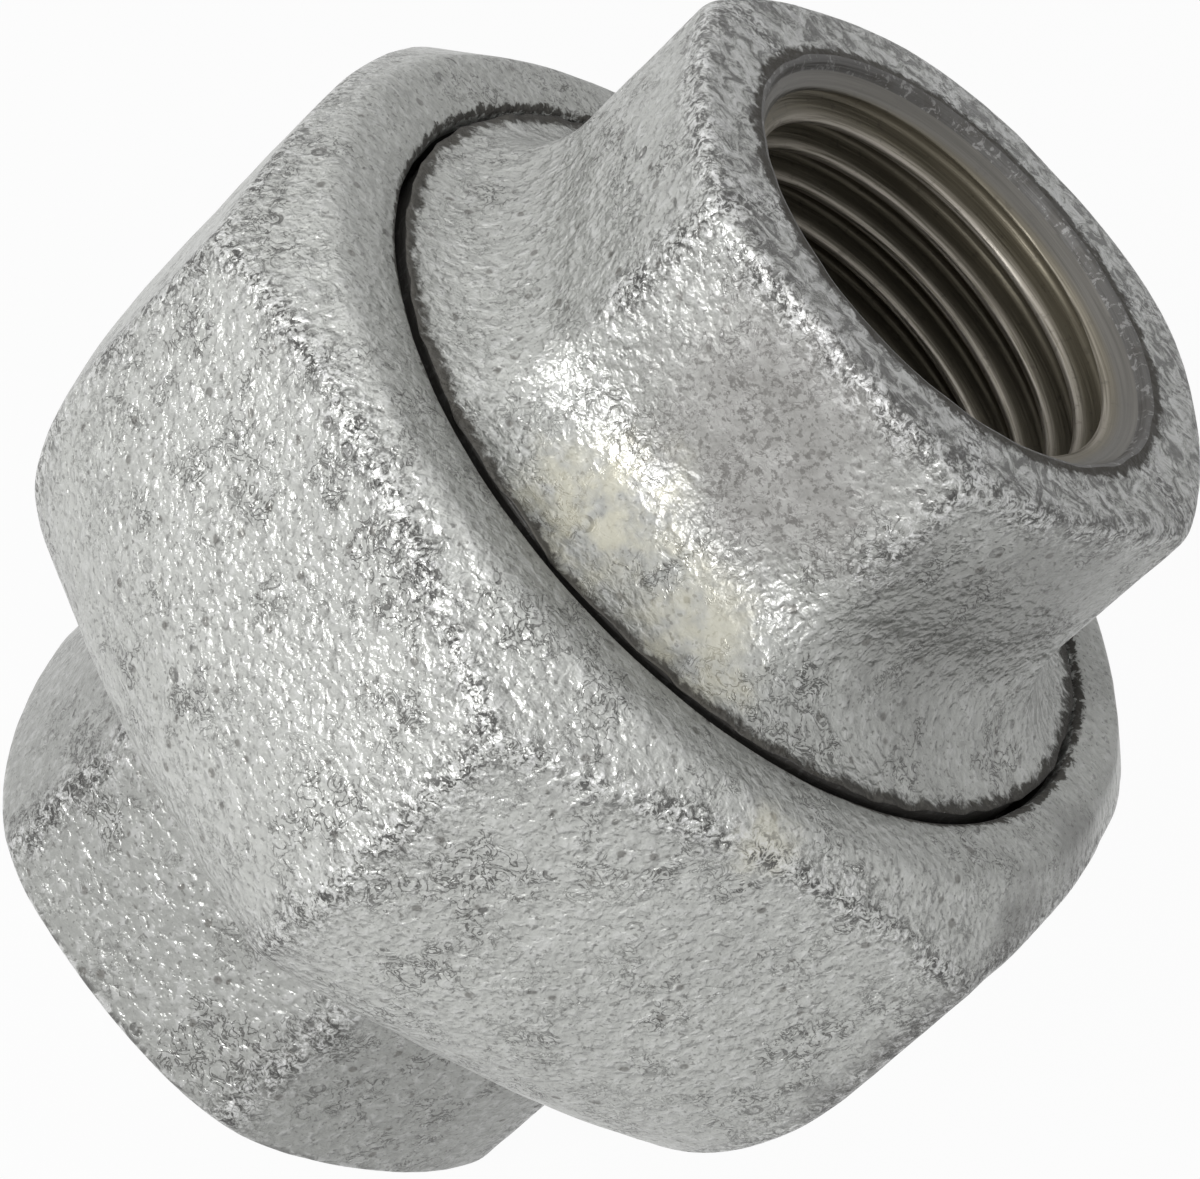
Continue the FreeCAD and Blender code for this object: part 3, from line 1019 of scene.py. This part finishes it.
def lamp(name, toward, size, power):
    data = bpy.data.lights.new(name, "AREA")
    data.shape = "DISK"
    data.size = size
    data.energy = power
    light = bpy.data.objects.new(name, data)
    bpy.context.scene.collection.objects.link(light)
    way = to_part(toward).normalized()
    light.location = LAMP_TARGET + way * LAMP_DISTANCE
    light.rotation_euler = way.to_track_quat("Z", "Y").to_euler()


lamp("key", (-0.42, 0.0, -0.91), 0.14, 4.0)
lamp("left", (-0.70, -0.35, -0.62), 0.12, 1.5)
lamp("low", (-0.05, 0.35, -0.93), 0.16, 0.6)
lamp("top", (0.05, -0.85, -0.50), 0.40, 0.6)


# Background: world and floor are white to camera, glossy and transmission rays

def seen(tree):
    """1 for camera, glossy and transmission rays."""
    path = tree.nodes.new("ShaderNodeLightPath")
    share = path.outputs["Is Camera Ray"]
    for ray in ("Is Glossy Ray", "Is Transmission Ray"):
        node = tree.nodes.new("ShaderNodeMath")
        node.operation = "MAXIMUM"
        tree.links.new(share, node.inputs[0])
        tree.links.new(path.outputs[ray], node.inputs[1])
        share = node.outputs[0]
    return share


def shader(tree, kind, **values):
    """New shader node with constants on its sockets."""
    node = tree.nodes.new(kind)
    for name, value in values.items():
        node.inputs[name].default_value = value
    return node.outputs[0]


def end_tree(tree, share, first, second, output_kind):
    """Sends the first shader, with a share of the second, to the tree's output."""
    join = tree.nodes.new("ShaderNodeMixShader")
    end = tree.nodes.new(output_kind)
    tree.links.new(share, join.inputs[0])
    tree.links.new(first, join.inputs[1])
    tree.links.new(second, join.inputs[2])
    tree.links.new(join.outputs[0], end.inputs[0])


world = bpy.data.worlds.new("studio")
bpy.context.scene.world = world
world.use_nodes = True
tree = world.node_tree
tree.nodes.clear()
plain = shader(tree, "ShaderNodeBackground", Color=WHITE, Strength=WORLD_FILL)
white = shader(tree, "ShaderNodeBackground", Color=WHITE, Strength=1.0)
end_tree(tree, seen(tree), plain, white, "ShaderNodeOutputWorld")

pale = bpy.data.materials.new("pale_floor")
pale.use_nodes = True
tree = pale.node_tree
tree.nodes.clear()
matt = shader(tree, "ShaderNodeBsdfDiffuse", Color=(FLOOR_GREY, FLOOR_GREY, FLOOR_GREY, 1))
glow = shader(tree, "ShaderNodeEmission", Color=WHITE, Strength=1.0)
share = tree.nodes.new("ShaderNodeMath")
share.operation = "MULTIPLY"
tree.links.new(seen(tree), share.inputs[0])
share.inputs[1].default_value = FLOOR_GLOW_SHARE
end_tree(tree, share.outputs[0], matt, glow, "ShaderNodeOutputMaterial")

floor_mesh = bpy.data.meshes.new("floor")
floor_corners = [(x * FLOOR_REACH, y * FLOOR_REACH, 0) for x, y in ((-1, -1), (1, -1), (1, 1), (-1, 1))]
floor_mesh.from_pydata(floor_corners, [], [(0, 1, 2, 3)])
floor_mesh.materials.append(pale)
floor = bpy.data.objects.new("floor", floor_mesh)
floor.location = (0, 0, -FLOOR_DROP)
bpy.context.scene.collection.objects.link(floor)

bpy.context.scene.view_settings.view_transform = "Standard"
